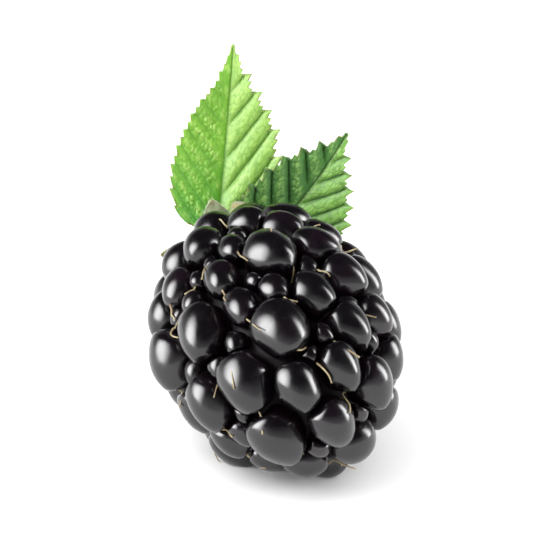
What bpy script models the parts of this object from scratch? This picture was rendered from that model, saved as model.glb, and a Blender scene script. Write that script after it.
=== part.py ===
"""A bramble berry lying on its side, with its calyx, stalk and two leaves.

Metres, +Z up. The fruit rests on the plane z = 0 with its tip towards -Y, and the stalk and the
leaves rise behind it.
"""
import math

import bmesh
import bpy
import numpy as np
from mathutils import Matrix, Vector

MM = 0.001

# The fruit: drupelet centres lie on an ovoid round FRUIT_CENTRE, a little narrower at the tip.
FRUIT_CENTRE = Vector((0.28, -3.63, 12.6)) * MM
TIP_DIRECTION = Vector((0.375, -0.894, -0.245)).normalized()
CENTRES_HALF_WIDTH = 10.0 * MM
CENTRES_HALF_LENGTH = 14.4 * MM
TIP_TAPER = 0.08
FLESH_OVER_CENTRES = 0.3 * MM
DRUPELET_SWELL = 1.04
FRUIT_CUTS = 23

# Drupelets on the face that shows, from the tip to the stem: degrees from the tip, degrees of turn
# clockwise from the top as seen from the tip, and radius in millimetres.
FACE_DRUPELETS = (
    (8, 341, 2.6), (29, 141, 2.9), (30, 252, 3.1), (33, 9, 2.5),
    (34, 55, 2.6), (35, 331, 2.7), (37, 187, 2.6), (39, 99, 2.6),
    (48, 299, 3.2), (50, 209, 2.2), (57, 24, 2.5), (59, 334, 3.2),
    (60, 78, 2.6), (60, 228, 2.4), (60, 261, 3.0), (65, 54, 2.4),
    (71, 3, 2.5), (76, 348, 1.9), (78, 325, 2.1), (82, 298, 3.1),
    (83, 237, 2.6), (85, 28, 2.7), (92, 58, 2.5), (96, 352, 3.0),
    (96, 322, 2.2), (97, 261, 3.2), (108, 337, 1.9), (114, 35, 2.3),
    (114, 295, 2.3), (117, 264, 2.5), (120, 17, 2.2), (122, 323, 2.6),
    (130, 0, 2.3), (137, 304, 2.4), (139, 340, 2.6),
)
# The rest are found where there is room on a close spiral, and then all of them press each other apart.
SPIRAL_POINTS = 900
ADDED_RADIUS = 2.6 * MM
ADD_CLOSENESS = 0.77
PRESS_CLOSENESS = 0.96
PRESS_ROUNDS = 80
PRESS_STEP = 0.2
FACE_HOLD = 0.12
STEM_LIMIT_DEGREES = 149.0
# Drupelets this near the surface sag onto it, and are pressed flat there.
SAG_REACH = 1.8 * MM
SAG_DEPTH = 0.3 * MM

# The calyx and the stalk leave the stem end, which faces away from the tip.
CALYX_HEIGHT = 15.1 * MM
STALK_START = 15.0 * MM
STALK_RADIUS = 0.85 * MM
STALK_END = Vector((-4.2, 16.4, 8.3)) * MM
STALK_END_HEADING = Vector((0.06, -0.04, 1.0)).normalized()
STALK_HANDLE = 3.2 * MM
STALK_SWELL = 1.15
STALK_TAPER = 0.9
SEPAL_COUNT = 5
SEPAL_LENGTH = 5.8 * MM
SEPAL_HALF_WIDTH = 1.5 * MM
SEPAL_THICKNESS = 0.4 * MM
SEPAL_INNER_RADIUS = 1.3 * MM
SEPAL_FIRST_TURN = 0.2
SEPAL_RISE = (0.08, 0.12)
SEPAL_CUP = 0.5 * MM
SEPAL_BASE_SHARE = 0.2
SEPAL_TIP_SHARE = 0.76
SEPAL_FULLNESS = 0.8
SEPAL_BASE_SLOPE = 0.55
SEPAL_ROWS = 10
SEPAL_COLUMNS = 4

# The leaves: each is a grid along its midrib, folded a little along it. A midrib is a cubic curve's
# four control points, in millimetres from the fruit's centre, like the stalk's end.
LEAF_THICKNESS = 0.4 * MM
LEAF_ROWS = 44
LEAF_COLUMNS = 8
LEAF_PETIOLE_SHARE = 0.05
LEAF_PETIOLE_HALF_WIDTH = 0.4 * MM
LEAF_TIP_HALF_WIDTH = 0.12 * MM
LEAF_TOOTH_DEPTH = 0.07
LEAF_ROUGHNESS = 0.5
LEAVES = {
    "leaf_left": {
        "midrib": ((-6.6, 18.4, 3.6), (-6.6, 21.4, 2.4), (-5.6, 23.4, 13.5), (-4.8, 22.8, 24.2)),
        "half_widths": (5.8, 5.9),
        "outlines": (
            ((0.0, 0.0), (0.06, 0.5), (0.22, 0.82), (0.38, 0.97), (0.48, 1.0),
             (0.58, 0.92), (0.74, 0.67), (0.84, 0.3), (0.92, 0.14), (1.0, 0.0)),
            ((0.0, 0.0), (0.06, 0.5), (0.22, 0.78), (0.38, 0.93), (0.48, 1.0),
             (0.66, 0.95), (0.74, 0.79), (0.84, 0.45), (0.92, 0.18), (1.0, 0.0)),
        ),
        "fold_degrees": 12.0,
        "colour": (0.3, 0.5, 0.1),
    },
    "leaf_right": {
        "midrib": ((-5.0, 17.0, 3.8), (-3.4, 20.0, -0.8), (2.2, 19.2, 6.0), (7.5, 18.6, 15.6)),
        "half_widths": (5.9, 6.6),
        "outlines": (
            ((0.0, 0.0), (0.06, 0.45), (0.2, 0.8), (0.47, 1.0), (0.57, 0.98),
             (0.73, 0.92), (0.84, 0.68), (0.91, 0.3), (1.0, 0.0)),
            ((0.0, 0.0), (0.06, 0.45), (0.2, 0.8), (0.47, 0.97), (0.57, 1.0),
             (0.73, 0.79), (0.84, 0.45), (0.91, 0.19), (1.0, 0.0)),
        ),
        "fold_degrees": 14.0,
        "colour": (0.16, 0.36, 0.08),
    },
}


def clear_scene():
    for obj in list(bpy.data.objects):
        bpy.data.objects.remove(obj, do_unlink=True)


def principled(name, colour, roughness):
    """A plain Principled material."""
    material = bpy.data.materials.new(name)
    material.use_nodes = True
    shader = material.node_tree.nodes["Principled BSDF"]
    shader.inputs["Base Color"].default_value = (*colour, 1.0)
    shader.inputs["Roughness"].default_value = roughness
    shader.inputs["Metallic"].default_value = 0.0
    material.diffuse_color = (*colour, 1.0)
    return material


def add_part(name, bm, material, collection):
    """A smooth-shaded object from a bmesh, in the given collection."""
    bmesh.ops.recalc_face_normals(bm, faces=bm.faces)
    mesh = bpy.data.meshes.new(name)
    bm.to_mesh(mesh)
    bm.free()
    mesh.shade_smooth()
    mesh.materials.append(material)
    obj = bpy.data.objects.new(name, mesh)
    collection.objects.link(obj)
    return obj


def fruit_axes():
    """The fruit's own right, up and tip directions."""
    up = Vector((0.0, 0.0, 1.0))
    up = (up - TIP_DIRECTION * up.dot(TIP_DIRECTION)).normalized()
    return up.cross(TIP_DIRECTION), up, TIP_DIRECTION


def on_ovoid(direction, grow=0.0):
    """The ovoid's point, in the fruit's own axes, for each unit direction."""
    direction = np.asarray(direction)
    along = direction[..., 2:]
    width = (CENTRES_HALF_WIDTH + grow) * (1.0 - TIP_TAPER * along)
    return np.concatenate([direction[..., :2] * width, along * (CENTRES_HALF_LENGTH + grow)], axis=-1)


def unit(values):
    return values / np.linalg.norm(values, axis=-1, keepdims=True)


def face_directions():
    """Directions of the drupelets on the face, in the fruit's own axes."""
    table = np.array(FACE_DRUPELETS)
    polar = np.radians(table[:, 0])
    turn = np.radians(table[:, 1])
    across = np.sin(polar)
    return np.stack([across * np.sin(turn), across * np.cos(turn), np.cos(polar)], axis=1)


def spiral_directions():
    """A close, even spiral over the whole ovoid, short of the stem end."""
    number = np.arange(SPIRAL_POINTS) + 0.5
    along = 1.0 - number / SPIRAL_POINTS * (1.0 - math.cos(math.radians(STEM_LIMIT_DEGREES)))
    turn = number * math.pi * (3.0 - math.sqrt(5.0))
    across = np.sqrt(1.0 - along**2)
    return np.stack([across * np.cos(turn), across * np.sin(turn), along], axis=1)


def fill_room(directions, radii):
    """Adds a drupelet wherever the spiral meets room for one."""
    for candidate in spiral_directions():
        gaps = np.linalg.norm(on_ovoid(directions) - on_ovoid(candidate), axis=1)
        if (gaps > ADD_CLOSENESS * (radii + ADDED_RADIUS)).all():
            directions = np.concatenate([directions, [candidate]])
            radii = np.append(radii, ADDED_RADIUS)
    return directions, radii


def press_apart(directions, radii, held):
    """Pushes the drupelets apart along the ovoid, the first ones held near where they were."""
    lowest = math.cos(math.radians(STEM_LIMIT_DEGREES))
    home = directions[:held].copy()
    reach = PRESS_CLOSENESS * (radii[:, None] + radii[None, :])
    for _ in range(PRESS_ROUNDS):
        here = on_ovoid(directions)
        away = here[:, None, :] - here[None, :, :]
        distance = np.linalg.norm(away, axis=2) + np.eye(len(here))
        push = np.clip(1.0 - distance / reach, 0.0, None)[:, :, None] * away / distance[:, :, None]
        directions = directions + PRESS_STEP * push.sum(axis=1)
        directions[:held] += FACE_HOLD * (home - directions[:held])
        directions[:, 2] = np.maximum(directions[:, 2], lowest)
        directions = unit(directions)
    return directions


def drupelets():
    """Centres, from the fruit's centre in world directions, and radii of all the drupelets."""
    radii = np.array(FACE_DRUPELETS)[:, 2] * MM
    held = len(radii)
    directions, radii = fill_room(face_directions(), radii)
    directions = press_apart(directions, radii, held)
    centres = on_ovoid(directions) @ np.array(fruit_axes())
    radii = radii * DRUPELET_SWELL
    height = centres[:, 2] + FRUIT_CENTRE.z - radii
    centres[:, 2] -= np.where(height < SAG_REACH, height + SAG_DEPTH, 0.0)
    return centres, radii


def fruit_reach(directions, centres, radii):
    """How far the fruit's surface is from its centre along each direction."""
    along = directions @ centres.T
    inside = along**2 - (centres**2).sum(axis=1) + radii**2
    reach = np.where(inside > 0.0, along + np.sqrt(np.maximum(inside, 0.0)), 0.0)
    flesh = on_ovoid(directions @ np.array(fruit_axes()).T, FLESH_OVER_CENTRES)
    return np.maximum(reach.max(axis=1), np.linalg.norm(flesh, axis=1))


def make_berry(collection):
    """The fruit: a ball swollen into drupelets, pressed flat where it lies."""
    bm = bmesh.new()
    bmesh.ops.create_cube(bm, size=2.0)
    bmesh.ops.subdivide_edges(bm, edges=bm.edges, cuts=FRUIT_CUTS, use_grid_fill=True)
    # The tangent evens out the sizes of the squares when the cube becomes a ball.
    cube = np.array([vert.co for vert in bm.verts])
    directions = unit(np.tan(cube * math.pi / 4.0))
    centres, radii = drupelets()
    world = directions * fruit_reach(directions, centres, radii)[:, None] + np.array(FRUIT_CENTRE)
    world[:, 2] = np.maximum(world[:, 2], 0.0)
    for vert, place in zip(bm.verts, world):
        vert.co = place
    bmesh.ops.triangulate(bm, faces=bm.faces)
    material = principled("berry", (0.012, 0.008, 0.014), 0.18)
    return add_part("berry", bm, material, collection)


def stem_frame():
    """Places a shape made along +Z so that it leaves the stem end."""
    right, up, tip = fruit_axes()
    turned = Matrix((right, up, -tip)).transposed().to_4x4()
    return Matrix.Translation(FRUIT_CENTRE) @ turned


def make_stalk(collection):
    """The cut stalk: out of the stem end, then curving up behind the fruit."""
    curve = bpy.data.curves.new("stalk", "CURVE")
    curve.dimensions = "3D"
    curve.bevel_depth = STALK_RADIUS
    curve.bevel_resolution = 3
    curve.resolution_u = 6
    curve.use_fill_caps = True
    spline = curve.splines.new("BEZIER")
    spline.bezier_points.add(1)
    start = FRUIT_CENTRE - TIP_DIRECTION * STALK_START
    places = ((start, -TIP_DIRECTION), (FRUIT_CENTRE + STALK_END, STALK_END_HEADING))
    for point, (place, heading) in zip(spline.bezier_points, places):
        point.co = place
        point.handle_left = place - heading * STALK_HANDLE
        point.handle_right = place + heading * STALK_HANDLE
    spline.bezier_points[0].radius = STALK_SWELL
    spline.bezier_points[1].radius = STALK_TAPER
    curve.materials.append(principled("stalk", (0.32, 0.42, 0.16), 0.6))
    obj = bpy.data.objects.new("stalk", curve)
    collection.objects.link(obj)
    return obj


def thicken(obj, thickness):
    solidify = obj.modifiers.new("Solidify", "SOLIDIFY")
    solidify.thickness = thickness
    solidify.offset = 0.0


def grid_part(name, size, place, material, collection):
    """A thin body from a grid, each grid point put where place(across, along) says."""
    columns, rows, thickness = size
    bm = bmesh.new()
    bmesh.ops.create_grid(bm, x_segments=columns, y_segments=rows, size=1.0)
    for vert in bm.verts:
        vert.co = place(vert.co.x, (vert.co.y + 1.0) / 2.0)
    obj = add_part(name, bm, material, collection)
    thicken(obj, thickness)
    return obj


def make_sepals(collection):
    """Five sepals round the stalk, bent back from the fruit."""
    frame = stem_frame()
    for number in range(SEPAL_COUNT):
        turn = Matrix.Rotation(math.tau * (number + SEPAL_FIRST_TURN) / SEPAL_COUNT, 4, "Z")

        def place(across, along):
            out = SEPAL_INNER_RADIUS + along * SEPAL_LENGTH
            # Widest below the middle, and never so wide that two sepals meet beside the stalk.
            turned = math.pi * (SEPAL_BASE_SHARE + SEPAL_TIP_SHARE * along)
            width = SEPAL_HALF_WIDTH * math.sin(turned) ** SEPAL_FULLNESS
            width = min(width, out * SEPAL_BASE_SLOPE)
            rise = SEPAL_LENGTH * (SEPAL_RISE[0] * along + SEPAL_RISE[1] * along**2)
            cup = SEPAL_CUP * across**2 * math.sin(math.pi * along)
            return frame @ turn @ Vector((width * across, out, CALYX_HEIGHT + rise + cup))

        material = principled(f"sepal_{number + 1}", (0.45, 0.5, 0.33), 0.85)
        size = (SEPAL_COLUMNS, SEPAL_ROWS, SEPAL_THICKNESS)
        grid_part(f"sepal_{number + 1}", size, place, material, collection)


def bezier(points, share):
    """The place and the heading at a share of a cubic curve through its four control points."""
    a, b, c, d = points
    rest = 1.0 - share
    place = a * rest**3 + b * 3 * rest**2 * share + c * 3 * rest * share**2 + d * share**3
    heading = (b - a) * 3 * rest**2 + (c - b) * 6 * rest * share + (d - c) * 3 * share**2
    return place, heading.normalized()


def blade_share(outline, along):
    """Half-width of a blade as a share of its widest, from its base to its drawn-out tip."""
    knots = np.array(outline)
    tooth = LEAF_TOOTH_DEPTH * (round(along * (LEAF_ROWS - 1)) % 2)
    return float(np.interp(along, knots[:, 0], knots[:, 1])) * (1.0 - tooth)


def make_leaf(name, leaf, material, collection):
    """A toothed leaf: its petiole and blade along one midrib, the blade folded towards the front."""
    points = [FRUIT_CENTRE + Vector(point) * MM for point in leaf["midrib"]]
    fold = math.radians(leaf["fold_degrees"])

    def place(across, along):
        middle, heading = bezier(points, along)
        side = Vector((0.0, 1.0, 0.0)).cross(heading).normalized()
        front = side.cross(heading)
        hand = 0 if across < 0.0 else 1
        half_width = leaf["half_widths"][hand] * MM
        blade = (along - LEAF_PETIOLE_SHARE) / (1.0 - LEAF_PETIOLE_SHARE)
        width = LEAF_PETIOLE_HALF_WIDTH if along < 0.5 else LEAF_TIP_HALF_WIDTH
        if blade > 0.0:
            width = max(width, half_width * blade_share(leaf["outlines"][hand], blade))
        out = across * width
        return middle + side * out * math.cos(fold) + front * abs(out) * math.sin(fold)

    return grid_part(name, (LEAF_COLUMNS, LEAF_ROWS, LEAF_THICKNESS), place, material, collection)


def main():
    clear_scene()
    collection = bpy.data.collections.new("bramble_berry")
    bpy.context.scene.collection.children.link(collection)
    make_berry(collection)
    make_stalk(collection)
    make_sepals(collection)
    for name, leaf in LEAVES.items():
        make_leaf(name, leaf, principled(name, leaf["colour"], LEAF_ROUGHNESS), collection)


main()
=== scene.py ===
import math
import random

import bpy
import numpy as np
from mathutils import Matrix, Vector, noise


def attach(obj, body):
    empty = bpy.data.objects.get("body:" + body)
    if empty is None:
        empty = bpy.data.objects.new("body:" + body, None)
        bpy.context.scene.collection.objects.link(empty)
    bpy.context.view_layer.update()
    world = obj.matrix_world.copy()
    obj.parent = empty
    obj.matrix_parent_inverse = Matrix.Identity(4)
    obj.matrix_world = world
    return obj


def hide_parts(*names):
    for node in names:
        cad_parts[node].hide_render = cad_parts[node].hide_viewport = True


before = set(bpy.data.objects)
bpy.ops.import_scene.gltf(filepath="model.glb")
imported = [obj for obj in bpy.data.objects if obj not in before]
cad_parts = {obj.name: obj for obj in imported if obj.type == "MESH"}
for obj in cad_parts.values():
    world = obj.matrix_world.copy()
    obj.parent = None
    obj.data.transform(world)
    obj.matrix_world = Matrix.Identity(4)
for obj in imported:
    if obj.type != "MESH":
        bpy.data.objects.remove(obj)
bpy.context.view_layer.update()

mm = 0.001
mergeWithin = 0.002  # millimetres

# the fruit's own axes and size, the same as the solid's
fruit = {
    "centre": (0.28, -3.63, 12.6),
    "tip": (0.375, -0.894, -0.245),
    "halfWidth": 10.0,
    "halfLength": 14.4,
    "taper": 0.08,
    "swell": 1.04,
    "stemLimit": 149.0,
}

# drupelets on the face that shows, from the tip to the stem:
# degrees from the tip, degrees of turn from the top, radius in millimetres
faceDrupelets = (
    (8, 341, 2.6), (29, 141, 2.9), (30, 252, 3.1), (33, 9, 2.5),
    (34, 55, 2.6), (35, 331, 2.7), (37, 187, 2.6), (39, 99, 2.6),
    (48, 299, 3.2), (50, 209, 2.2), (57, 24, 2.5), (59, 334, 3.2),
    (60, 78, 2.6), (60, 228, 2.4), (60, 261, 3.0), (65, 54, 2.4),
    (71, 3, 2.5), (76, 348, 1.9), (78, 325, 2.1), (82, 298, 3.1),
    (83, 237, 2.6), (85, 28, 2.7), (92, 58, 2.5), (96, 352, 3.0),
    (96, 322, 2.2), (97, 261, 3.2), (108, 337, 1.9), (114, 35, 2.3),
    (114, 295, 2.3), (117, 264, 2.5), (120, 17, 2.2), (122, 323, 2.6),
    (130, 0, 2.3), (137, 304, 2.4), (139, 340, 2.6),
)

# how the hidden drupelets are found and all of them press apart
packing = {
    "spiralPoints": 900,
    "addedRadius": 2.6,
    "addCloseness": 0.77,
    "pressCloseness": 0.96,
    "rounds": 80,
    "step": 0.2,
    "hold": 0.12,
    "sagReach": 1.8,
    "sagDepth": 0.3,
    "holeLeast": 0.5,
    "holeCover": 0.9,
    "fillerShare": 1.5,
    "fillerRadius": (1.2, 2.1),
    "mostFillers": 44,
}


def unit(values):
    return values / np.linalg.norm(values, axis=-1, keepdims=True)


fruitCentre = np.array(fruit["centre"]) * mm
tipWay = unit(np.array(fruit["tip"]))
upWay = unit(np.array((0.0, 0.0, 1.0)) - tipWay * tipWay[2])
rightWay = np.cross(upWay, tipWay)
fruitAxes = np.array((rightWay, upWay, tipWay))


def onOvoid(ways, grow=0.0):
    # the ovoid's point in the fruit's own axes, in metres
    ways = np.asarray(ways)
    along = ways[..., 2:]
    width = (fruit["halfWidth"] + grow) * (1.0 - fruit["taper"] * along)
    length = along * (fruit["halfLength"] + grow)
    return np.concatenate([ways[..., :2] * width, length], axis=-1) * mm


def spiralWays():
    limit = math.cos(math.radians(fruit["stemLimit"]))
    number = np.arange(packing["spiralPoints"]) + 0.5
    along = 1.0 - number / packing["spiralPoints"] * (1.0 - limit)
    turn = number * math.pi * (3.0 - math.sqrt(5.0))
    across = np.sqrt(1.0 - along**2)
    return np.stack([across * np.cos(turn), across * np.sin(turn), along], axis=1)


def layDrupelets():
    # centres in world metres and radii in metres
    placed = np.array(faceDrupelets)
    polar, turn = np.radians(placed[:, 0]), np.radians(placed[:, 1])
    across = np.sin(polar)
    ways = np.stack([across * np.sin(turn), across * np.cos(turn), np.cos(polar)], axis=1)
    radii = placed[:, 2] * mm
    held, home = len(radii), ways.copy()
    added = packing["addedRadius"] * mm
    for way in spiralWays():
        gaps = np.linalg.norm(onOvoid(ways) - onOvoid(way), axis=1)
        if (gaps > packing["addCloseness"] * (radii + added)).all():
            ways = np.concatenate([ways, [way]])
            radii = np.append(radii, added)
    limit = math.cos(math.radians(fruit["stemLimit"]))
    reach = packing["pressCloseness"] * (radii[:, None] + radii[None, :])
    for _ in range(packing["rounds"]):
        here = onOvoid(ways)
        away = here[:, None, :] - here[None, :, :]
        apart = np.linalg.norm(away, axis=2) + np.eye(len(here))
        push = np.clip(1.0 - apart / reach, 0.0, None)[:, :, None] * away / apart[:, :, None]
        ways = ways + packing["step"] * push.sum(axis=1)
        ways[:held] += packing["hold"] * (home - ways[:held])
        ways[:, 2] = np.maximum(ways[:, 2], limit)
        ways = unit(ways)
    centres = onOvoid(ways) @ fruitAxes + fruitCentre
    radii = radii * fruit["swell"]
    gap = centres[:, 2] - radii
    low = gap < packing["sagReach"] * mm
    centres[:, 2] -= np.where(low, gap + packing["sagDepth"] * mm, 0.0)
    # small drupelets in the holes that are left
    spots = onOvoid(spiralWays()) @ fruitAxes + fruitCentre
    for _ in range(packing["mostFillers"]):
        apart = np.linalg.norm(spots[:, None] - centres[None], axis=2)
        holes = (apart - radii * packing["holeCover"]).min(axis=1)
        widest = int(holes.argmax())
        if holes[widest] < packing["holeLeast"] * mm:
            break
        size = np.clip(holes[widest] * packing["fillerShare"] / mm, *packing["fillerRadius"]) * mm
        centres = np.concatenate([centres, spots[widest:widest + 1]])
        radii = np.append(radii, size)
    return centres, radii


centres, radii = layDrupelets()
print("drupelets laid out:", len(radii))


def deselect():
    bpy.ops.object.select_all(action="DESELECT")


def pointsOf(obj):
    flat = np.empty(len(obj.data.vertices) * 3)
    obj.data.vertices.foreach_get("co", flat)
    return flat.reshape(-1, 3)


def putPoints(obj, points):
    obj.data.vertices.foreach_set("co", np.asarray(points, dtype=np.float32).ravel())
    obj.data.update()


def addValues(obj, name, values):
    # a float on each vertex, for the materials
    layer = obj.data.attributes.new(name, "FLOAT", "POINT")
    layer.data.foreach_set("value", np.asarray(values, dtype=np.float32))


def joinAll(parts, name):
    deselect()
    for part in parts:
        part.select_set(True)
    bpy.context.view_layer.objects.active = parts[0]
    bpy.ops.object.join()
    whole = bpy.context.object
    whole.name = name
    whole.data.name = name
    return whole


def applyModifiers(obj):
    deselect()
    obj.select_set(True)
    bpy.context.view_layer.objects.active = obj
    for modifier in list(obj.modifiers):
        bpy.ops.object.modifier_apply(modifier=modifier.name)


def finishPiece(obj, material, slot, *nodes):
    obj.data.materials.clear()
    obj.data.materials.append(material)
    obj.data.polygons.foreach_set("material_index", np.zeros(len(obj.data.polygons), dtype=np.int32))
    obj.data.shade_smooth()
    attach(obj, "root")
    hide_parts(*nodes)
    print(obj.name, "made with", len(obj.data.polygons), "faces")


def fineNoise(points, size, seed=0.0):
    shift = Vector((seed, seed * 1.7, seed * 0.6))
    return np.array([noise.noise(Vector(point) / (size * mm) + shift) for point in points])


def noiseVector(spot):
    # noise.noise_vector gives other values from run to run, so each part is a noise of its own
    return Vector([noise.noise(spot + Vector((9.0 * axis, 0.0, 0.0))) for axis in (1, 2, 3)])


def softPress(distance, limit, shoulder):
    # keeps a distance under its limit, with a rounded shoulder of that size
    over = distance - (limit - shoulder)
    pressed = limit - shoulder * np.exp(-np.maximum(over, 0.0) / shoulder)
    return np.where(over > 0.0, pressed, distance)


def makeTubes(name, lines, roundness):
    # round tubes along lists of places in metres and radii in millimetres, as one closed mesh
    curve = bpy.data.curves.new(name, "CURVE")
    curve.dimensions = "3D"
    curve.bevel_depth = 1.0 * mm
    curve.bevel_resolution = roundness
    curve.use_fill_caps = True
    for places, widths in lines:
        line = curve.splines.new("POLY")
        line.points.add(len(places) - 1)
        for point, place, width in zip(line.points, places, widths):
            point.co = (*place, 1.0)
            point.radius = width
    tubes = bpy.data.objects.new(name, curve)
    bpy.context.scene.collection.objects.link(tubes)
    deselect()
    tubes.select_set(True)
    bpy.context.view_layer.objects.active = tubes
    bpy.ops.object.convert(target="MESH")
    tubes = bpy.context.object
    bpy.ops.object.mode_set(mode="EDIT")
    bpy.ops.mesh.select_all(action="SELECT")
    bpy.ops.mesh.remove_doubles(threshold=mergeWithin * mm)
    bpy.ops.mesh.normals_make_consistent(inside=False)
    bpy.ops.object.mode_set(mode="OBJECT")
    tubes.name = name
    return tubes


def startMaterial(name):
    material = bpy.data.materials.new(name)
    material.use_nodes = True
    tree = material.node_tree
    return material, tree, tree.nodes["Principled BSDF"]


def attribute(tree, name):
    node = tree.nodes.new("ShaderNodeAttribute")
    node.attribute_name = name
    return node.outputs["Fac"]


def objectPlace(tree):
    return tree.nodes.new("ShaderNodeTexCoord").outputs["Object"]


def noiseOf(tree, place, size, detail=3.0, roughness=0.5):
    # size is in millimetres
    node = tree.nodes.new("ShaderNodeTexNoise")
    node.inputs["Scale"].default_value = 1.0 / (size * mm)
    node.inputs["Detail"].default_value = detail
    node.inputs["Roughness"].default_value = roughness
    tree.links.new(place, node.inputs["Vector"])
    return node.outputs["Fac"]


def ranged(tree, value, fromLow, fromHigh, toLow, toHigh):
    node = tree.nodes.new("ShaderNodeMapRange")
    sockets = ("From Min", "From Max", "To Min", "To Max")
    for socket, number in zip(sockets, (fromLow, fromHigh, toLow, toHigh)):
        node.inputs[socket].default_value = number
    tree.links.new(value, node.inputs["Value"])
    return node.outputs["Result"]


def product(tree, first, second):
    node = tree.nodes.new("ShaderNodeMath")
    node.operation = "MULTIPLY"
    for socket, value in zip(node.inputs, (first, second)):
        if isinstance(value, (int, float)):
            socket.default_value = value
        else:
            tree.links.new(value, socket)
    return node.outputs["Value"]


def mixed(tree, share, first, second):
    node = tree.nodes.new("ShaderNodeMix")
    node.data_type = "RGBA"
    for socket, value in zip((node.inputs[0], node.inputs[6], node.inputs[7]), (share, first, second)):
        if isinstance(value, (int, float)):
            socket.default_value = value
        elif isinstance(value, tuple):
            socket.default_value = (*value, 1.0)
        else:
            tree.links.new(value, socket)
    return node.outputs[2]


def bumped(tree, shader, height, distance, strength, under=None):
    node = tree.nodes.new("ShaderNodeBump")
    node.inputs["Distance"].default_value = distance * mm
    node.inputs["Strength"].default_value = strength
    tree.links.new(height, node.inputs["Height"])
    if under is not None:
        tree.links.new(under, node.inputs["Normal"])
    tree.links.new(node.outputs["Normal"], shader.inputs["Normal"])
    return node.outputs["Normal"]


bead = {
    "cuts": 11,
    "pull": (0.53, -0.36, -0.77),
    "side": 0.9,
    "along": 1.3,
    "out": 1.04,
    "taper": 0.24,
    "vary": 0.04,
    "shoulder": 0.28,
    "gap": 0.03,
    "wobble": 0.07,
    "wobbleSize": 2.2,
    "dimple": 0.16,
    "dimpleSize": 0.5,
    "styleAt": (0.0, 0.85, 0.5),
    "neighbourReach": 1.3,
    "footShoulder": 0.25,
}


def outwardOf(centre):
    local = fruitAxes @ (centre - fruitCentre)
    slope = local / np.array((fruit["halfWidth"], fruit["halfWidth"], fruit["halfLength"])) ** 2
    return unit(slope @ fruitAxes)


def beadAxes(centre):
    # sideways, the way it is drawn out, outwards, and how much of the pull runs along it
    out = outwardOf(centre)
    pull = unit(np.array(bead["pull"]))
    along = pull - out * (pull @ out)
    share = np.linalg.norm(along)
    along = unit(along + rightWay * 1e-6)
    return np.array((np.cross(along, out), along, out)), share


def makeBead():
    # a cube cut small and rounded into an even ball
    deselect()
    bpy.ops.mesh.primitive_cube_add(size=2.0)
    ball = bpy.context.object
    bpy.ops.object.mode_set(mode="EDIT")
    bpy.ops.mesh.select_all(action="SELECT")
    bpy.ops.mesh.subdivide(number_cuts=bead["cuts"])
    bpy.ops.object.mode_set(mode="OBJECT")
    putPoints(ball, unit(np.tan(pointsOf(ball) * math.pi / 4.0)))
    return ball


def swellBead(number, ball, chance):
    # one drupelet: drawn out a little towards the tip, pressed by its neighbours and the surface
    centre, radius = centres[number], radii[number]
    axes, share = beadAxes(centre)
    vary = [1.0 + chance.uniform(-bead["vary"], bead["vary"]) for _ in range(3)]
    along = bead["side"] + (bead["along"] - bead["side"]) * share
    sizes = np.array((bead["side"] * vary[0], along * vary[1], bead["out"] * vary[2])) * radius
    local = ball * sizes
    local[:, 0] *= 1.0 - bead["taper"] * share * ball[:, 1]
    points = centre + local @ axes
    # a shallow dimple where the dried style stands
    foot = centre + (np.array(bead["styleAt"]) * sizes) @ axes
    fromFoot = np.linalg.norm(points - foot, axis=1)
    depth = bead["dimple"] * mm * np.exp(-((fromFoot / (bead["dimpleSize"] * mm)) ** 2))
    points -= unit(points - centre) * depth[:, None]
    wobble = fineNoise(points, bead["wobbleSize"], number * 3.1) * bead["wobble"] * mm
    points += unit(points - centre) * wobble[:, None]
    apart = np.linalg.norm(centres - centre, axis=1)
    for other in np.argsort(apart)[1:]:
        gap = apart[other]
        if gap > (radius + radii[other]) * bead["neighbourReach"]:
            break
        toOther = (centres[other] - centre) / gap
        limit = gap / 2.0 + (radius**2 - radii[other] ** 2) / (2.0 * gap) - bead["gap"] * mm
        reach = (points - centre) @ toOther
        pressed = softPress(reach, limit, bead["shoulder"] * radius)
        points += (pressed - reach)[:, None] * toOther
    points[:, 2] = -softPress(-points[:, 2], 0.0, bead["footShoulder"] * mm)
    height = ((points - centre) @ axes[2]) / radius
    return points, height


def makeFruit():
    chance = random.Random(11)
    first = makeBead()
    ball = pointsOf(first)
    parts = []
    for number in range(len(radii)):
        one = first.copy()
        one.data = first.data.copy()
        bpy.context.scene.collection.objects.link(one)
        points, height = swellBead(number, ball, chance)
        putPoints(one, points)
        addValues(one, "height", height)
        addValues(one, "tint", np.full(len(points), chance.random()))
        parts.append(one)
    bpy.data.objects.remove(first)
    return joinAll(parts, "drupelets")


flesh = {
    "segments": 48,
    "rings": 32,
    "grow": -1.0,
    "clearance": 0.6,
    "shoulder": 0.3,
    # near-black, darker than the skin: painted shade seen through the crevices
    "dark": (0.001, 0.0005, 0.0008),
    "light": (0.004, 0.001, 0.002),
    "roughness": 0.55,
    "specular": 0.15,
}


def makeFlesh():
    # the flesh under the drupelets, which closes the crevices; its near-black colour is painted shade for the
    # deep crevices
    deselect()
    counts = {"segments": flesh["segments"], "ring_count": flesh["rings"]}
    bpy.ops.mesh.primitive_uv_sphere_add(radius=1.0, **counts)
    core = bpy.context.object
    points = onOvoid(pointsOf(core), flesh["grow"]) @ fruitAxes + fruitCentre
    points[:, 2] = -softPress(-points[:, 2], -flesh["clearance"] * mm, flesh["shoulder"] * mm)
    putPoints(core, points)
    core.name = "flesh"
    return core


def makeFleshFinish():
    material, tree, shader = startMaterial("fleshShadeBetween")
    place = objectPlace(tree)
    # painted shade: the flesh is coloured near-black so the crevices between drupelets look deep and dark
    colour = mixed(tree, noiseOf(tree, place, 1.0), flesh["dark"], flesh["light"])
    tree.links.new(colour, shader.inputs["Base Color"])
    shader.inputs["Roughness"].default_value = flesh["roughness"]
    shader.inputs["Specular IOR Level"].default_value = flesh["specular"]
    bumped(tree, shader, noiseOf(tree, place, 0.3), 0.05, 0.6)
    return material


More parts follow.
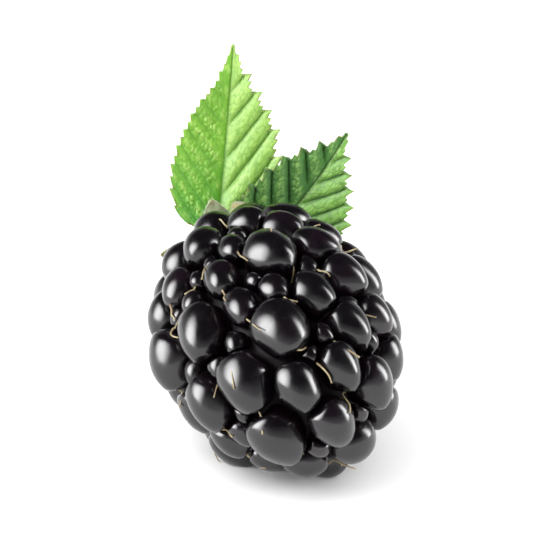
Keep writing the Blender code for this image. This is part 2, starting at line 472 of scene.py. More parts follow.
skin = {
    "black": (0.0022, 0.0016, 0.0024),
    "purple": (0.008, 0.003, 0.007),
    # painted shade: a darker, redder colour low in the crevices between drupelets
    "creviceShadeTint": (0.003, 0.001, 0.002),
    "creviceShadeHeights": (-0.1, 0.5),
    "patchSize": 3.0,
    "grainSize": 0.9,
    "lumpSize": 1.4,
    "poreSize": 0.14,
    "refraction": 1.5,
    "roughLow": 0.17,
    "roughHigh": 0.28,
    "coat": 0.2,
    "coatRoughness": 0.14,
}


def makeSkin():
    material, tree, shader = startMaterial("drupeletSkin")
    place = objectPlace(tree)
    patches = noiseOf(tree, place, skin["patchSize"], 3.0)
    share = product(tree, ranged(tree, patches, 0.42, 0.7, 0.0, 1.0), attribute(tree, "tint"))
    colour = mixed(tree, share, skin["black"], skin["purple"])
    # painted shade with a reddish tint: darker and redder towards the crevices, where the drupelets' height
    # is low
    low = ranged(tree, attribute(tree, "height"), *skin["creviceShadeHeights"], 1.0, 0.0)
    colour = mixed(tree, low, colour, skin["creviceShadeTint"])
    tree.links.new(colour, shader.inputs["Base Color"])
    grain = noiseOf(tree, place, skin["grainSize"], 4.0)
    rough = ranged(tree, grain, 0.3, 0.7, skin["roughLow"], skin["roughHigh"])
    tree.links.new(rough, shader.inputs["Roughness"])
    shader.inputs["IOR"].default_value = skin["refraction"]
    shader.inputs["Coat Weight"].default_value = skin["coat"]
    shader.inputs["Coat Roughness"].default_value = skin["coatRoughness"]
    under = bumped(tree, shader, noiseOf(tree, place, skin["lumpSize"], 2.0), 0.05, 0.25)
    bumped(tree, shader, noiseOf(tree, place, skin["poreSize"], 2.0), 0.006, 0.3, under)
    return material


style = {
    "share": 0.5,
    "length": (1.2, 2.6),
    "thickness": (0.07, 0.11),
    "steps": 9,
    "lift": 0.14,
    "curl": 0.5,
    "curlStep": 0.35,
    "spread": 0.45,
    "sunk": 0.97,
    "footDepth": 0.25,
    "smoothings": 4,
    "rise": (-0.1, 0.5),
    "least": 2.2,
    "taper": (1.25, 0.5),
    "tipFrom": 0.92,
    "tipSwell": 1.5,
}


def fruitReach(ways):
    # distance from the fruit's centre to its surface, for directions in world axes
    offset = centres - fruitCentre
    along = ways @ offset.T
    inside = along**2 - (offset**2).sum(axis=1) + radii**2
    return np.where(inside > 0.0, along + np.sqrt(np.maximum(inside, 0.0)), 0.0).max(axis=1)


def stylePath(number, chance):
    centre, radius = centres[number], radii[number]
    axes = beadAxes(centre)[0]
    start = centre + (np.array(bead["styleAt"]) * radius * style["sunk"]) @ axes
    length = chance.uniform(*style["length"]) * mm
    heading = unit(axes[1] + axes[0] * chance.uniform(-style["spread"], style["spread"]))
    turn = chance.uniform(-style["curl"], style["curl"])
    points = [start]
    for step in range(style["steps"]):
        out = unit(points[-1] - fruitCentre)
        heading = unit(heading + np.cross(out, heading) * turn * style["curlStep"])
        heading = unit(heading - out * (heading @ out))
        points.append(points[-1] + heading * length / style["steps"])
    points = np.array(points)
    away = unit(points - fruitCentre)
    reach = fruitReach(away) + style["lift"] * mm
    # threads bridge the crevices instead of dipping into them
    for _ in range(style["smoothings"]):
        smooth = np.convolve(np.pad(reach, 1, mode="edge"), (0.25, 0.5, 0.25), mode="valid")
        reach = np.maximum(reach, smooth)
    reach[0] -= style["footDepth"] * mm
    reach += np.linspace(0.0, 1.0, len(reach)) ** 2 * chance.uniform(*style["rise"]) * mm
    path = fruitCentre + away * reach[:, None]
    path[:, 2] = np.maximum(path[:, 2], style["thickness"][1] * 2.0 * mm)
    return path


def makeStyles():
    chance = random.Random(5)
    lines = []
    for number in range(len(radii)):
        wanted = chance.random() < style["share"]
        path = stylePath(number, chance)
        thick = chance.uniform(*style["thickness"])
        if not wanted or centres[number][2] < style["least"] * mm:
            continue
        share = np.linspace(0.0, 1.0, len(path))
        end = np.where(share > style["tipFrom"], style["tipSwell"], 1.0)
        lines.append((path, thick * (style["taper"][0] - style["taper"][1] * share) * end))
    return makeTubes("driedStyles", lines, 1)


thread = {
    "brown": (0.2, 0.13, 0.06),
    "tan": (0.42, 0.36, 0.2),
    "dark": (0.1, 0.05, 0.03),
    "roughness": 0.6,
}


def makeThreadFinish():
    material, tree, shader = startMaterial("driedThread")
    place = objectPlace(tree)
    bands = ranged(tree, noiseOf(tree, place, 1.2), 0.35, 0.65, 0.0, 1.0)
    colour = mixed(tree, bands, thread["brown"], thread["tan"])
    specks = ranged(tree, noiseOf(tree, place, 0.2), 0.55, 0.8, 0.0, 0.7)
    colour = mixed(tree, specks, colour, thread["dark"])
    tree.links.new(colour, shader.inputs["Base Color"])
    shader.inputs["Roughness"].default_value = thread["roughness"]
    bumped(tree, shader, noiseOf(tree, place, 0.1), 0.02, 0.5)
    return material


leaves = {
    "leafLeft": {
        "node": "leaf_left",
        "slot": "leaf_light",
        "midrib": ((-6.6, 18.4, 3.6), (-6.6, 21.4, 2.4), (-5.6, 23.4, 13.5), (-4.8, 22.8, 24.2)),
        "petiole": 0.05,
        "halfWidths": (5.8, 5.9),
        "outline": (
            ((0.0, 0.0), (0.06, 0.5), (0.22, 0.82), (0.38, 0.97), (0.48, 1.0),
             (0.58, 0.92), (0.74, 0.67), (0.84, 0.3), (0.92, 0.14), (1.0, 0.0)),
            ((0.0, 0.0), (0.06, 0.5), (0.22, 0.78), (0.38, 0.93), (0.48, 1.0),
             (0.66, 0.95), (0.74, 0.79), (0.84, 0.45), (0.92, 0.18), (1.0, 0.0)),
        ),
        "veinStep": (2.7, 3.9),
        "veinSlope": (1.15, 1.55),
        "veinStart": (1.3, 0.6),
        "pleat": (0.12, 0.3),
        "groove": (0.08, 0.28),
        "wrinkle": (0.2, 0.06),
        "tooth": (0.14, 0.8),
        "fineTooth": (0.36, 0.5),
        "teethPerVein": (2, 3),
        "fold": 12.0,
        "seed": 3.0,
    },
    "leafRight": {
        "node": "leaf_right",
        "slot": "leaf_dark",
        "midrib": ((-5.0, 17.0, 3.8), (-3.4, 20.0, -0.8), (2.2, 19.2, 6.0), (7.5, 18.6, 15.6)),
        "petiole": 0.05,
        "halfWidths": (5.9, 6.6),
        "outline": (
            ((0.0, 0.0), (0.06, 0.45), (0.2, 0.8), (0.47, 1.0), (0.57, 0.98),
             (0.73, 0.92), (0.84, 0.68), (0.91, 0.3), (1.0, 0.0)),
            ((0.0, 0.0), (0.06, 0.45), (0.2, 0.8), (0.47, 0.97), (0.57, 1.0),
             (0.73, 0.79), (0.84, 0.45), (0.91, 0.19), (1.0, 0.0)),
        ),
        "veinStep": (3.5, 3.0),
        "veinSlope": (1.35, 1.45),
        "veinStart": (0.9, 0.4),
        "pleat": (0.6, 0.3),
        "groove": (0.16, 0.26),
        "wrinkle": (0.16, 0.09),
        "tooth": (0.75, 0.75),
        "fineTooth": (0.42, 0.42),
        "teethPerVein": (2, 2),
        "fold": 14.0,
        "seed": 8.0,
    },
}

blade = {
    "columns": 84,
    "rows": 210,
    "thickness": 0.2,
    "grooveWidth": 0.22,
    "midribDepth": 0.35,
    "midribWidth": 0.35,
    "midribSunk": 0.6,
    "cell": 0.62,
    "cellShake": 0.5,
    "cellLine": 0.35,
    "leastHalf": 0.05,
    "toothSharp": 2.2,
    "toothLean": 0.7,
    "veinBend": 0.02,
    "wave": 0.5,
    "waveSize": 7.0,
    "lengthSteps": 400,
}


def alongBezier(points, share):
    # places and headings at each share of a cubic curve
    a, b, c, d = (np.array(point) for point in points)
    share = np.asarray(share)[:, None]
    rest = 1.0 - share
    place = a * rest**3 + b * 3 * rest**2 * share + c * 3 * rest * share**2 + d * share**3
    heading = (b - a) * 3 * rest**2 + (c - b) * 6 * rest * share + (d - c) * 3 * share**2
    return place * mm + fruitCentre, unit(heading)


def smoothLine(knots, share):
    # a line through the knots with its corners rounded
    knots = np.array(knots)
    fine = np.interp(share, knots[:, 0], knots[:, 1])
    for width in (0.02, 0.035):
        before = np.interp(share - width, knots[:, 0], knots[:, 1])
        after = np.interp(share + width, knots[:, 0], knots[:, 1])
        fine = (before + after + 2.0 * fine) / 4.0
    return fine


def saw(phase, sharp=1.4):
    # rises slowly and drops fast, as a tooth that points to the tip
    return (phase % 1.0) ** sharp


def netOfVeins(across, along, seed):
    # 0 on the small veins and 1 between them
    cell = np.empty(len(across))
    for index, spot in enumerate(zip(across, along, np.full(len(across), seed))):
        shaken = Vector(spot) / blade["cell"]
        shaken += noiseVector(shaken * 0.6) * blade["cellShake"]
        near = noise.voronoi(shaken)[0]
        cell[index] = near[1] - near[0]
    return np.clip(cell / blade["cellLine"], 0.0, 1.0)


def leafHalf(leaf, hand, away, share, distance):
    # one side of the blade: how far out, forwards and towards the tip each point lies, and its values
    slope, step, first = leaf["veinSlope"][hand], leaf["veinStep"][hand], leaf["veinStart"][hand]
    width = leaf["halfWidths"][hand] * smoothLine(leaf["outline"][hand], share)
    edgePhase = (distance - slope * width - first) / step
    teeth = leaf["tooth"][hand] * (saw(edgePhase, blade["toothSharp"]) - 0.3)
    teeth += leaf["fineTooth"][hand] * (saw(edgePhase * leaf["teethPerVein"][hand]) - 0.4)
    teeth *= np.clip(width / 1.5, 0.0, 1.0)
    out = away * np.maximum(width + teeth * away**3, blade["leastHalf"])
    # side veins: even steps along the midrib, bending a little towards the tip
    phase = (distance - slope * out - blade["veinBend"] * out**2 - first) / step
    toVein = np.abs(phase - np.round(phase)) * step / math.hypot(1.0, slope)
    vein = np.exp(-((toVein / (blade["grooveWidth"] * (1.25 - 0.6 * away))) ** 2))
    midrib = np.exp(-((out / (blade["midribWidth"] * (1.2 - 0.8 * share))) ** 2))
    swell = np.abs(np.sin(math.pi * phase)) ** 0.8
    fade = np.clip(out / 1.2, 0.0, 1.0) * np.clip(width / 2.0, 0.15, 1.0)
    # the net of small veins, stretched across the panels
    net = netOfVeins(out * (1.6 - 3.2 * hand), phase * step * 0.8, leaf["seed"])
    lift = leaf["pleat"][hand] * (swell - 0.5) * fade
    lift -= leaf["groove"][hand] * vein * fade
    lift += leaf["wrinkle"][hand] * (net - 0.5) * (1.0 - 0.7 * vein) * fade * (1.0 - away**4)
    lift -= blade["midribDepth"] * midrib * blade["midribSunk"]
    lean = np.maximum(teeth, 0.0) * away**6 * blade["toothLean"]
    flank = np.sign(hand - 0.5) * np.clip(out / 0.3, 0.0, 1.0)
    vein = np.maximum(vein * fade, midrib)
    values = {"vein": vein, "relief": swell, "cell": net, "rim": away, "flank": flank}
    return out, lift, lean, values


def leafSheet(leaf):
    deselect()
    bpy.ops.mesh.primitive_grid_add(x_subdivisions=blade["columns"], y_subdivisions=blade["rows"], size=2.0)
    sheet = bpy.context.object
    flat = pointsOf(sheet)
    across, share = flat[:, 0], (flat[:, 1] + 1.0) / 2.0
    start = leaf["petiole"]
    place, heading = alongBezier(leaf["midrib"], start + (1.0 - start) * share)
    steps = np.linspace(0.0, 1.0, blade["lengthSteps"])
    line = alongBezier(leaf["midrib"], start + (1.0 - start) * steps)[0]
    pieces = np.linalg.norm(np.diff(line, axis=0), axis=1) / mm
    distance = np.interp(share, steps, np.concatenate([[0.0], np.cumsum(pieces)]))
    side = unit(np.cross((0.0, 1.0, 0.0), heading))
    front = unit(np.cross(side, heading))
    values = {key: np.zeros(len(flat)) for key in ("vein", "relief", "cell", "rim", "flank")}
    sideways, forwards, lengthways = np.zeros(len(flat)), np.zeros(len(flat)), np.zeros(len(flat))
    fold = math.radians(leaf["fold"])
    for hand, half in enumerate((across < 0.0, across >= 0.0)):
        out, lift, lean, found = leafHalf(leaf, hand, np.abs(across[half]), share[half], distance[half])
        sideways[half] = np.sign(hand - 0.5) * out * math.cos(fold)
        forwards[half] = out * math.sin(fold) + lift
        lengthways[half] = lean
        for key, value in found.items():
            values[key][half] = value
    spread = place + side * (sideways * mm)[:, None]
    wave = fineNoise(spread, blade["waveSize"], leaf["seed"]) * blade["wave"]
    forwards = forwards + wave * np.clip(np.abs(sideways) / 3.0, 0.0, 1.0)
    points = spread + front * (forwards * mm)[:, None] + heading * (lengthways * mm)[:, None]
    putPoints(sheet, points)
    values["flank"] = values["flank"] * 0.5 + 0.5
    values["along"] = share
    for key, value in values.items():
        addValues(sheet, key, value)
    solid = sheet.modifiers.new("thickness", "SOLIDIFY")
    solid.thickness = blade["thickness"] * mm
    solid.offset = 0.0
    applyModifiers(sheet)
    deselect()
    sheet.select_set(True)
    bpy.ops.object.mode_set(mode="EDIT")
    bpy.ops.mesh.select_all(action="SELECT")
    bpy.ops.mesh.normals_make_consistent(inside=False)
    bpy.ops.object.mode_set(mode="OBJECT")
    return sheet


rib = {
    "foot": 0.42,
    "start": 0.34,
    "end": 0.08,
    "behind": 0.16,
    "steps": 36,
    "reach": 0.98,
    "dive": 0.1,
    "values": {"vein": 1.0, "relief": 0.5, "cell": 0.7, "rim": 0.0, "flank": 0.5, "along": 0.3},
}


def leafRib(name, leaf):
    # the petiole, which runs on under the blade as its midrib
    shares = np.linspace(0.0, rib["reach"], rib["steps"])
    place, heading = alongBezier(leaf["midrib"], shares)
    side = unit(np.cross((0.0, 1.0, 0.0), heading))
    front = unit(np.cross(side, heading))
    depth = rib["behind"] + blade["midribDepth"] * blade["midribSunk"]
    under = np.clip((shares - leaf["petiole"]) / rib["dive"], 0.0, 1.0) * depth * mm
    place = place - front * under[:, None]
    thick = rib["start"] + (rib["end"] - rib["start"]) * shares
    thick += (rib["foot"] - rib["start"]) * np.maximum(1.0 - shares / leaf["petiole"], 0.0)
    made = makeTubes(name + "Rib", [(place, thick)], 3)
    for key, value in rib["values"].items():
        addValues(made, key, np.full(len(made.data.vertices), value))
    return made


leafSkin = {
    "dryTip": (0.2, 0.12, 0.03),
    "dryCorner": (0.36, 0.34, 0.18),
    "roughness": (0.42, 0.62),
    "refraction": 1.42,
    "sheen": 0.12,
    "throughLight": 0.15,
    "grainSize": 0.35,
    "poreSize": 0.08,
}

leafFinish = {
    # painted light and shade: each leaf has a darker colour for its shaded half and a lighter one for its lit
    # half
    "leafLeft": {
        "left": (0.2, 0.44, 0.035),
        "right": (0.31, 0.5, 0.1),
        "low": (0.05, 0.27, 0.02),
        "lowReach": (0.15, 0.62),
        "vein": (0.06, 0.2, 0.02),
        "groove": 0.6,
        "grooveShadeLeft": 0.3,
        "hollowShadeAndMottle": (0.09, 0.28, 0.02),
        "litRidge": (0.38, 0.58, 0.13),
        "dryReach": (-1.0, -0.5),
    },
    "leafRight": {
        "left": (0.06, 0.21, 0.028),
        "right": (0.18, 0.4, 0.055),
        "low": (0.03, 0.11, 0.02),
        "lowReach": (0.0, 0.2),
        "vein": (0.02, 0.085, 0.012),
        "groove": 0.75,
        "grooveShadeLeft": 0.85,
        "hollowShadeAndMottle": (0.028, 0.1, 0.016),
        "litRidge": (0.3, 0.53, 0.13),
        "dryReach": (0.38, 0.52),
    },
}


def makeLeafFinish(name, look):
    material, tree, shader = startMaterial(name + "Blade")
    place = objectPlace(tree)
    flank, rim, cell = (attribute(tree, key) for key in ("flank", "rim", "cell"))
    # painted light and shade: one half of the blade gets the lit colour, the other the shaded colour
    colour = mixed(tree, ranged(tree, flank, 0.4, 0.6, 0.0, 1.0), look["left"], look["right"])
    mottle = noiseOf(tree, place, 2.6, 4.0)
    low = ranged(tree, attribute(tree, "along"), *look["lowReach"], 1.0, 0.0)
    low = product(tree, low, ranged(tree, flank, 0.4, 0.6, 1.0, 0.25))
    colour = mixed(tree, low, colour, look["low"])
    # painted highlight: the crests of the pleats between side veins are paler, most of all on the bumps
    # between small veins
    litRidge = ranged(tree, attribute(tree, "relief"), 0.72, 1.0, 0.0, 1.0)
    litRidge = product(tree, litRidge, ranged(tree, cell, 0.2, 0.9, 0.1, 0.75))
    colour = mixed(tree, litRidge, colour, look["litRidge"])
    # painted shade in the hollows of the small-vein net, and the same dark green laid on in random mottling
    colour = mixed(tree, ranged(tree, cell, 0.0, 0.6, 0.5, 0.0), colour, look["hollowShadeAndMottle"])
    colour = mixed(tree, ranged(tree, mottle, 0.35, 0.65, 0.0, 0.35), colour, look["hollowShadeAndMottle"])
    # painted shade: the side veins and midrib are darkened as shadowed grooves, with its own strength on each
    # half
    grooveShade = ranged(tree, flank, 0.3, 0.5, look["grooveShadeLeft"], look["groove"])
    vein = product(tree, attribute(tree, "vein"), grooveShade)
    colour = mixed(tree, vein, colour, look["vein"])
    # dry brown on the very tips of the teeth
    tips = ranged(tree, noiseOf(tree, place, 0.8), 0.45, 0.6, 0.1, 0.7)
    tips = product(tree, ranged(tree, rim, 0.95, 1.0, 0.0, 1.0), tips)
    colour = mixed(tree, tips, colour, leafSkin["dryTip"])
    # a dried tan corner low on one side
    corner = ranged(tree, attribute(tree, "along"), *look["dryReach"], 1.0, 0.0)
    corner = product(tree, ranged(tree, rim, 0.7, 0.92, 0.0, 1.0), corner)
    corner = product(tree, corner, ranged(tree, flank, 0.8, 0.95, 0.0, 1.0))
    corner = product(tree, corner, ranged(tree, mottle, 0.4, 0.55, 0.2, 1.0))
    colour = mixed(tree, corner, colour, leafSkin["dryCorner"])
    tree.links.new(colour, shader.inputs["Base Color"])
    gloss = ranged(tree, noiseOf(tree, place, 0.5), 0.3, 0.7, *leafSkin["roughness"])
    tree.links.new(gloss, shader.inputs["Roughness"])
    shader.inputs["IOR"].default_value = leafSkin["refraction"]
    shader.inputs["Sheen Weight"].default_value = leafSkin["sheen"]
    shader.inputs["Subsurface Weight"].default_value = leafSkin["throughLight"]
    shader.inputs["Subsurface Radius"].default_value = (0.6 * mm, 1.0 * mm, 0.2 * mm)
    shader.inputs["Subsurface Scale"].default_value = 0.6
    under = bumped(tree, shader, noiseOf(tree, place, leafSkin["grainSize"], 3.0), 0.06, 0.5)
    bumped(tree, shader, noiseOf(tree, place, leafSkin["poreSize"], 2.0), 0.012, 0.4, under)
    return material


sepal = {
    "count": 5,
    "firstTurn": 0.2,
    "inner": 0.75,
    "length": 6.3,
    "halfWidth": 1.75,
    "height": 15.1,
    "rise": (0.08, 0.12),
    "cup": 0.55,
    "thickness": 0.26,
    "columns": 26,
    "rows": 60,
    "hairs": 260,
    "hairLength": (0.25, 0.6),
    "hairThick": 0.026,
    "edgeHairs": 0.45,
    "ribHeight": 0.05,
    "crumple": 0.22,
    "crumpleSize": 1.3,
    "profile": (0.16, 0.835, 0.9),
    "footSlope": (0.7, 0.25),
}

stalk = {
    "start": 14.2,
    "end": (-4.2, 16.4, 8.3),
    "endWay": (0.06, -0.04, 1.0),
    "handle": 3.2,
    "radius": 0.85,
    "rings": 60,
    "sides": 40,
    "hairs": 520,
    "hairLength": (0.15, 0.45),
    "hairThick": 0.024,
    "prickles": 5,
    "prickleLength": (0.7, 0.95),
    "prickleThick": 0.17,
    "ribs": 5,
    "ribHeight": 0.05,
    "footSwell": 0.45,
    "footReach": 9.0,
    "taper": 0.08,
    "rough": 0.06,
    "roughSize": 0.8,
    "hairSunk": 0.9,
    "prickleSunk": 0.85,
    "prickleTurn": 2.4,
    "prickleLean": 0.45,
}

stemAxes = np.array((rightWay, upWay, -tipWay))
stemSide = (0.3, 0.2, 0.1)


def sepalPoint(across, along, turn):
    # a point of one sepal, in world metres
    out = sepal["inner"] + along * sepal["length"]
    foot, tip, fullness = sepal["profile"]
    width = sepal["halfWidth"] * np.sin(math.pi * (foot + tip * along)) ** fullness
    width = np.minimum(width, out * sepal["footSlope"][0] + sepal["footSlope"][1])
    rise = sepal["length"] * (sepal["rise"][0] * along + sepal["rise"][1] * along**2)
    cup = sepal["cup"] * across**2 * np.sin(math.pi * along)
    x, y, z = width * across, out, sepal["height"] + rise + cup
    cosine, sine = math.cos(turn), math.sin(turn)
    local = np.stack([x * cosine - y * sine, x * sine + y * cosine, z], axis=-1) * mm
    return local @ stemAxes + fruitCentre


def hairTuft(roots, ways, lengths, thick, name):
    # one small cone, copied for each hair with its foot on its root
    deselect()
    bpy.ops.mesh.primitive_cone_add(vertices=3, radius1=1.0, radius2=0.0, depth=1.0, location=(0.0, 0.0, 0.5))
    first = bpy.context.object
    cone = pointsOf(first) + np.array((0.0, 0.0, 0.5))
    hairs = []
    for root, way, length in zip(roots, ways, lengths):
        one = first.copy()
        one.data = first.data.copy()
        one.location = (0.0, 0.0, 0.0)
        bpy.context.scene.collection.objects.link(one)
        side = unit(np.cross(way, (0.31, 0.57, 0.76)))
        axes = np.array((side * thick, np.cross(way, side) * thick, way * length)) * mm
        putPoints(one, root + cone @ axes)
        hairs.append(one)
    bpy.data.objects.remove(first)
    whole = joinAll(hairs, name)
    addValues(whole, "hair", np.ones(len(whole.data.vertices)))
    return whole


def makeSepal(number):
    chance = random.Random(40 + number)
    turn = math.tau * (number + sepal["firstTurn"]) / sepal["count"]
    deselect()
    bpy.ops.mesh.primitive_grid_add(x_subdivisions=sepal["columns"], y_subdivisions=sepal["rows"], size=2.0)
    sheet = bpy.context.object
    flat = pointsOf(sheet)
    across, along = flat[:, 0], (flat[:, 1] + 1.0) / 2.0
    points = sepalPoint(across, along, turn)
    # lengthways veins and a little crumple
    ribs = np.cos(across * math.pi * 3.0) * sepal["ribHeight"] * np.sin(math.pi * along)
    crumple = fineNoise(points, sepal["crumpleSize"], number * 2.3) * sepal["crumple"]
    points += (-tipWay) * ((ribs + crumple * along) * mm)[:, None]
    putPoints(sheet, points)
    addValues(sheet, "hair", np.zeros(len(points)))
    addValues(sheet, "along", along)
    solid = sheet.modifiers.new("thickness", "SOLIDIFY")
    solid.thickness = sepal["thickness"] * mm
    solid.offset = 0.0
    applyModifiers(sheet)
    roots, ways, lengths = [], [], []
    for _ in range(sepal["hairs"]):
        at, far = chance.uniform(-1.0, 1.0), chance.random() ** 0.8
        if chance.random() < sepal["edgeHairs"]:
            at = math.copysign(1.0, at)
        root = sepalPoint(np.array(at), np.array(far), turn)
        out = unit(sepalPoint(np.array(at * 1.02), np.array(far + 0.03), turn) - root)
        face = -tipWay * chance.choice((-0.3, 0.8))
        loose = np.array([chance.uniform(-0.6, 0.6) for _ in range(3)])
        roots.append(root)
        ways.append(unit(out + face + loose))
        lengths.append(chance.uniform(*sepal["hairLength"]))
    hairs = hairTuft(roots, ways, lengths, sepal["hairThick"], "sepalHairs")
    addValues(hairs, "along", np.full(len(hairs.data.vertices), 0.5))
    return joinAll([sheet, hairs], "sepal" + str(number + 1))


def stalkLine(shares):
    start = -tipWay * stalk["start"]
    end = np.array(stalk["end"])
    bend = end - unit(np.array(stalk["endWay"])) * stalk["handle"]
    return alongBezier((start, start - tipWay * stalk["handle"], bend, end), shares)


def stalkSpot(far, turn):
    # the place on the stalk's middle line, its heading, and the way out at that turn
    spot, way = stalkLine([far])
    side = unit(np.cross(way[0], stemSide))
    return spot[0], way[0], side * math.cos(turn) + np.cross(way[0], side) * math.sin(turn)


def makeStalk():
    chance = random.Random(77)
    deselect()
    bpy.ops.mesh.primitive_cylinder_add(vertices=stalk["sides"], radius=1.0, depth=2.0, end_fill_type="NGON")
    stem = bpy.context.object
    bpy.ops.object.mode_set(mode="EDIT")
    for ring in range(1, stalk["rings"]):
        bpy.ops.mesh.select_all(action="SELECT")
        bpy.ops.mesh.bisect(plane_co=(0, 0, -1 + 2 * ring / stalk["rings"]), plane_no=(0, 0, 1))
    bpy.ops.object.mode_set(mode="OBJECT")
    flat = pointsOf(stem)
    share = (flat[:, 2] + 1.0) / 2.0
    place, heading = stalkLine(share)
    side = unit(np.cross(heading, stemSide))
    other = np.cross(heading, side)
    angle = np.arctan2(flat[:, 1], flat[:, 0])
    # ribbed a little, swollen where it meets the calyx
    swell = stalk["footSwell"] * np.exp(-share * stalk["footReach"]) - stalk["taper"] * share
    thick = stalk["radius"] * (1.0 + stalk["ribHeight"] * np.cos(angle * stalk["ribs"]) + swell)
    radial = side * (np.cos(angle) * thick)[:, None] + other * (np.sin(angle) * thick)[:, None]
    points = place + radial * mm
    points += radial * (fineNoise(points, stalk["roughSize"], 4.0) * stalk["rough"] * mm)[:, None]
    putPoints(stem, points)
    addValues(stem, "hair", np.zeros(len(points)))
    addValues(stem, "along", share)
    roots, ways, lengths = [], [], []
    for _ in range(stalk["hairs"]):
        far, turn = chance.uniform(0.12, 0.99), chance.uniform(0.0, math.tau)
        spot, way, out = stalkSpot(far, turn)
        roots.append(spot + out * stalk["radius"] * stalk["hairSunk"] * mm)
        ways.append(unit(out + np.array([chance.uniform(-0.5, 0.5) for _ in range(3)])))
        lengths.append(chance.uniform(*stalk["hairLength"]))
    hairs = hairTuft(roots, ways, lengths, stalk["hairThick"], "stalkHairs")
    addValues(hairs, "along", np.full(len(hairs.data.vertices), 0.5))
    roots, ways, lengths = [], [], []
    for number in range(stalk["prickles"]):
        far = 0.25 + 0.68 * number / stalk["prickles"]
        spot, way, out = stalkSpot(far, number * stalk["prickleTurn"] + 0.8)
        roots.append(spot + out * stalk["radius"] * stalk["prickleSunk"] * mm)
        ways.append(unit(out - way * stalk["prickleLean"]))
        lengths.append(chance.uniform(*stalk["prickleLength"]))
    prickles = hairTuft(roots, ways, lengths, stalk["prickleThick"], "prickles")
    addValues(prickles, "along", np.full(len(prickles.data.vertices), 1.2))
    return joinAll([stem, hairs, prickles], "stem")


wool = {
    "sepalDark": (0.2, 0.26, 0.1),
    "sepalLight": (0.42, 0.46, 0.28),
    "sepalHair": (0.62, 0.62, 0.5),
    "stalkDark": (0.14, 0.22, 0.06),
    "stalkLight": (0.3, 0.38, 0.13),
    "stalkHair": (0.55, 0.55, 0.4),
    "dryTip": (0.3, 0.2, 0.08),
    "roughness": (0.6, 0.85),
    "sheen": 0.3,
}


def makeWoolFinish(name, part):
    material, tree, shader = startMaterial(name)
    place = objectPlace(tree)
    blotches = ranged(tree, noiseOf(tree, place, 1.1, 4.0), 0.35, 0.65, 0.0, 1.0)
    colour = mixed(tree, blotches, wool[part + "Dark"], wool[part + "Light"])
    colour = mixed(tree, attribute(tree, "hair"), colour, wool[part + "Hair"])
    dry = ranged(tree, attribute(tree, "along"), 0.86, 1.0, 0.0, 0.6)
    colour = mixed(tree, dry, colour, wool["dryTip"])
    tree.links.new(colour, shader.inputs["Base Color"])
    gloss = ranged(tree, noiseOf(tree, place, 0.3), 0.3, 0.7, *wool["roughness"])
    tree.links.new(gloss, shader.inputs["Roughness"])
    shader.inputs["Sheen Weight"].default_value = wool["sheen"]
    bumped(tree, shader, noiseOf(tree, place, 0.16, 4.0), 0.06, 0.7)
    return material


studio = {
    "lens": 200.0,
    "elevation": 25.0,
    "distance": 0.32,
    "aim": (0.0, 0.0, 18.4),
    "floorGrey": 0.96,
    "sky": 1.12,
    "skyGloss": 0.02,
    "horizonGloss": 1.0,
    "horizonFade": 0.5,
    # name, azimuth, elevation, width, height, radiance, whether it only makes highlights
    "softboxes": (
        ("softboxLeft", -68.0, 20.0, 0.62, 0.86, 17.0, True),
        ("softboxRight", 94.0, 14.0, 0.26, 0.8, 17.0, True),
        ("keyLeft", -70.0, 50.0, 0.7, 0.7, 4.4, False),
        ("fillRight", 45.0, 45.0, 0.7, 0.7, 2.0, False),
    ),
    "boxDistance": 0.5,
    "boxAim": 0.013,
    "boxFade": (0.15, 0.5),
    "floorSize": 8.0,
}


def makeCamera():
    lens = bpy.data.cameras.new("camera")
    lens.lens = studio["lens"]
    lens.clip_start = 0.001
    lens.clip_end = 50.0
    camera = bpy.data.objects.new("camera", lens)
    bpy.context.scene.collection.objects.link(camera)
    rise = math.radians(studio["elevation"])
    back = Vector((0.0, -math.cos(rise), math.sin(rise)))
    camera.location = Vector(studio["aim"]) * mm + back * studio["distance"]
    camera.rotation_mode = "QUATERNION"
    camera.rotation_quaternion = (-back).to_track_quat("-Z", "Y")
    bpy.context.scene.camera = camera


def addSoftbox(name, azimuth, elevation, width, height, radiance, glossOnly):
    # azimuth 0 is behind the camera, and positive to its right
    turn, rise = math.radians(azimuth), math.radians(elevation)
    way = Vector((math.sin(turn) * math.cos(rise), -math.cos(turn) * math.cos(rise), math.sin(rise)))
    lamp = bpy.data.lights.new(name, "AREA")
    lamp.shape = "ELLIPSE"
    lamp.size = width
    lamp.size_y = height
    lamp.energy = radiance * math.pi * math.pi * width * height / 4.0
    lamp.use_nodes = True
    tree = lamp.node_tree
    light = tree.nodes["Emission"]
    # bright in the middle and fading to its edge
    spot = tree.nodes.new("ShaderNodeNewGeometry")
    centred = tree.nodes.new("ShaderNodeVectorMath")
    centred.operation = "DISTANCE"
    centred.inputs[1].default_value = (0.5, 0.5, 0.0)
    tree.links.new(spot.outputs["Parametric"], centred.inputs[0])
    fade = ranged(tree, centred.outputs["Value"], *studio["boxFade"], 1.0, 0.0)
    tree.links.new(fade, light.inputs["Strength"])
    box = bpy.data.objects.new(name, lamp)
    box.location = Vector((0.0, 0.0, studio["boxAim"])) + way * studio["boxDistance"]
    box.rotation_mode = "QUATERNION"
    box.rotation_quaternion = (-way).to_track_quat("-Z", "Y")
    box.visible_diffuse = not glossOnly
    box.visible_glossy = glossOnly
    bpy.context.scene.collection.objects.link(box)


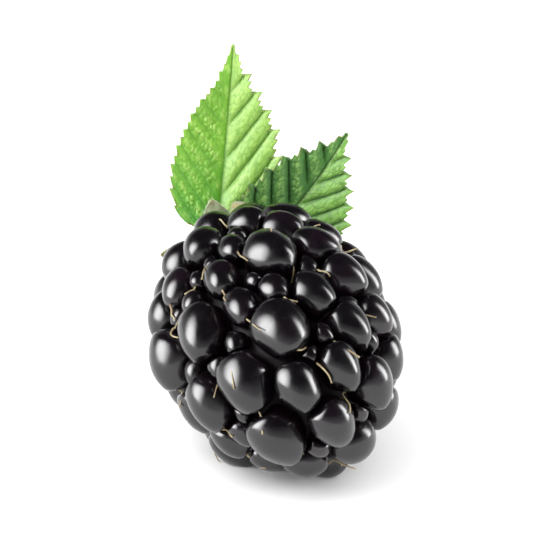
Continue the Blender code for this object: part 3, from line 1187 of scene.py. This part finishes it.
def makeStudio():
    deselect()
    bpy.ops.mesh.primitive_plane_add(size=studio["floorSize"])
    floor = bpy.context.object
    floor.name = "floor"
    material, tree, shader = startMaterial("floorPaper")
    shader.inputs["Base Color"].default_value = (studio["floorGrey"],) * 3 + (1.0,)
    shader.inputs["Roughness"].default_value = 0.9
    shader.inputs["Specular IOR Level"].default_value = 0.1
    floor.data.materials.append(material)
    for softbox in studio["softboxes"]:
        addSoftbox(*softbox)
    world = bpy.data.worlds.new("studioAir")
    bpy.context.scene.world = world
    world.use_nodes = True
    tree = world.node_tree
    background = tree.nodes["Background"]
    path = tree.nodes.new("ShaderNodeLightPath")
    strength = tree.nodes.new("ShaderNodeMix")
    strength.inputs[2].default_value = studio["sky"]
    heightOfWay = tree.nodes.new("ShaderNodeSeparateXYZ")
    tree.links.new(tree.nodes.new("ShaderNodeTexCoord").outputs["Generated"], heightOfWay.inputs[0])
    heights = (0.0, studio["horizonFade"], studio["horizonGloss"], studio["skyGloss"])
    fade = ranged(tree, heightOfWay.outputs["Z"], *heights)
    tree.links.new(fade, strength.inputs[3])
    tree.links.new(path.outputs["Is Glossy Ray"], strength.inputs[0])
    tree.links.new(strength.outputs[0], background.inputs["Strength"])
    background.inputs["Color"].default_value = (1.0, 1.0, 1.0, 1.0)
    scene = bpy.context.scene
    scene.view_settings.view_transform = "Standard"
    scene.view_settings.look = "None"
    scene.view_settings.exposure = 0.0


makeCamera()
makeStudio()
print("camera and studio ready")

finishPiece(makeFruit(), makeSkin(), "fruit", "berry")
finishPiece(makeFlesh(), makeFleshFinish(), "fruit", "berry")
finishPiece(makeStyles(), makeThreadFinish(), "stalk", "berry")

for leafName, leafPlan in leaves.items():
    piece = joinAll([leafSheet(leafPlan), leafRib(leafName, leafPlan)], leafName)
    finishPiece(piece, makeLeafFinish(leafName, leafFinish[leafName]), leafPlan["slot"], leafPlan["node"])

sepalWool = makeWoolFinish("sepalWool", "sepal")
for sepalNumber in range(sepal["count"]):
    finishPiece(makeSepal(sepalNumber), sepalWool, "sepals", "sepal_" + str(sepalNumber + 1))

finishPiece(makeStalk(), makeWoolFinish("stalkSkin", "stalk"), "stalk", "stalk")
